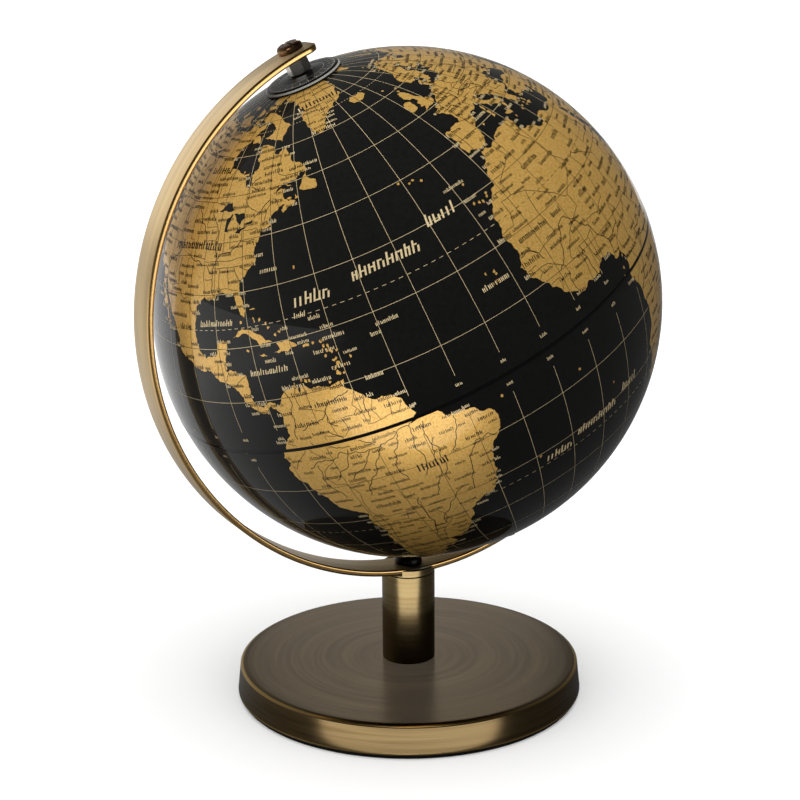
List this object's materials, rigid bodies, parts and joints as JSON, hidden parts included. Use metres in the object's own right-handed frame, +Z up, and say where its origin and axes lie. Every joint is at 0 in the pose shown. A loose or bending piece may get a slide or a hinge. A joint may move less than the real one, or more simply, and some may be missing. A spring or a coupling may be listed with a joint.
{
  "type": "desktop globe",
  "caption": "Globe on a leaning axis in a half-meridian strip arm, with an hour dial at the upper pole, on a short round post and a weighted disc base.",
  "frame": {"origin": "centre of the base's resting face, under the middle of the globe", "axes": "+Z up; the arm lies in the XZ plane and the globe's axis leans towards -X at its upper end"},
  "size_m": [0.2627, 0.25, 0.3329],
  "materials": {
    "ball_north": "printed black and gold map under a clear gloss laminate",
    "ball_south": "printed black and gold map under a clear gloss laminate",
    "equator_ring": "gloss black",
    "pole_bush_north": "moulded black",
    "pole_bush_south": "moulded black",
    "hour_dial": "gloss black with pale hour marks",
    "pole_screw_north": "bronzed",
    "pole_screw_south": "bronzed",
    "pole_nut_north": "nickel plated",
    "pole_nut_south": "nickel plated",
    "thrust_washer": "natural nylon",
    "meridian_arm": "brushed antique brass with polished edges",
    "arm_screw": "black oxide",
    "post_cap": "brushed antique brass",
    "post_tube": "brushed antique brass",
    "post_foot": "turned steel",
    "base_cover": "spun and brushed antique brass",
    "base_weight": "as cast",
    "base_washer": "zinc plated",
    "base_bolt": "zinc plated",
    "base_pad": "black foam"
  },
  "bodies": {
    "stand": {"base_pad": "base_pad", "base_cover": "base_cover", "base_weight": "base_weight", "base_washer": "base_washer", "base_bolt": "base_bolt", "post_foot": "post_foot", "post_tube": "post_tube", "post_cap": "post_cap", "arm_screw": "arm_screw", "meridian_arm": "meridian_arm", "pole_screw_north": "pole_screw_north", "pole_screw_south": "pole_screw_south", "pole_nut_north": "pole_nut_north", "pole_nut_south": "pole_nut_south", "thrust_washer": "thrust_washer"},
    "globe": {"ball_north": "ball_north", "ball_south": "ball_south", "equator_ring": "equator_ring", "pole_bush_north": "pole_bush_north", "pole_bush_south": "pole_bush_south"},
    "dial": {"hour_dial": "hour_dial"}
  },
  "joints": [
    {"name": "globe_spin", "type": "hinge", "parent": "stand", "child": "globe", "pos_m": [0, 0, 0.2029], "axis": [-0.4305, 0, 0.9026], "continuous": true},
    {"name": "dial_spin", "type": "hinge", "parent": "globe", "child": "dial", "pos_m": [0, 0, 0.2029], "axis": [-0.4305, 0, 0.9026], "continuous": true}
  ]
}
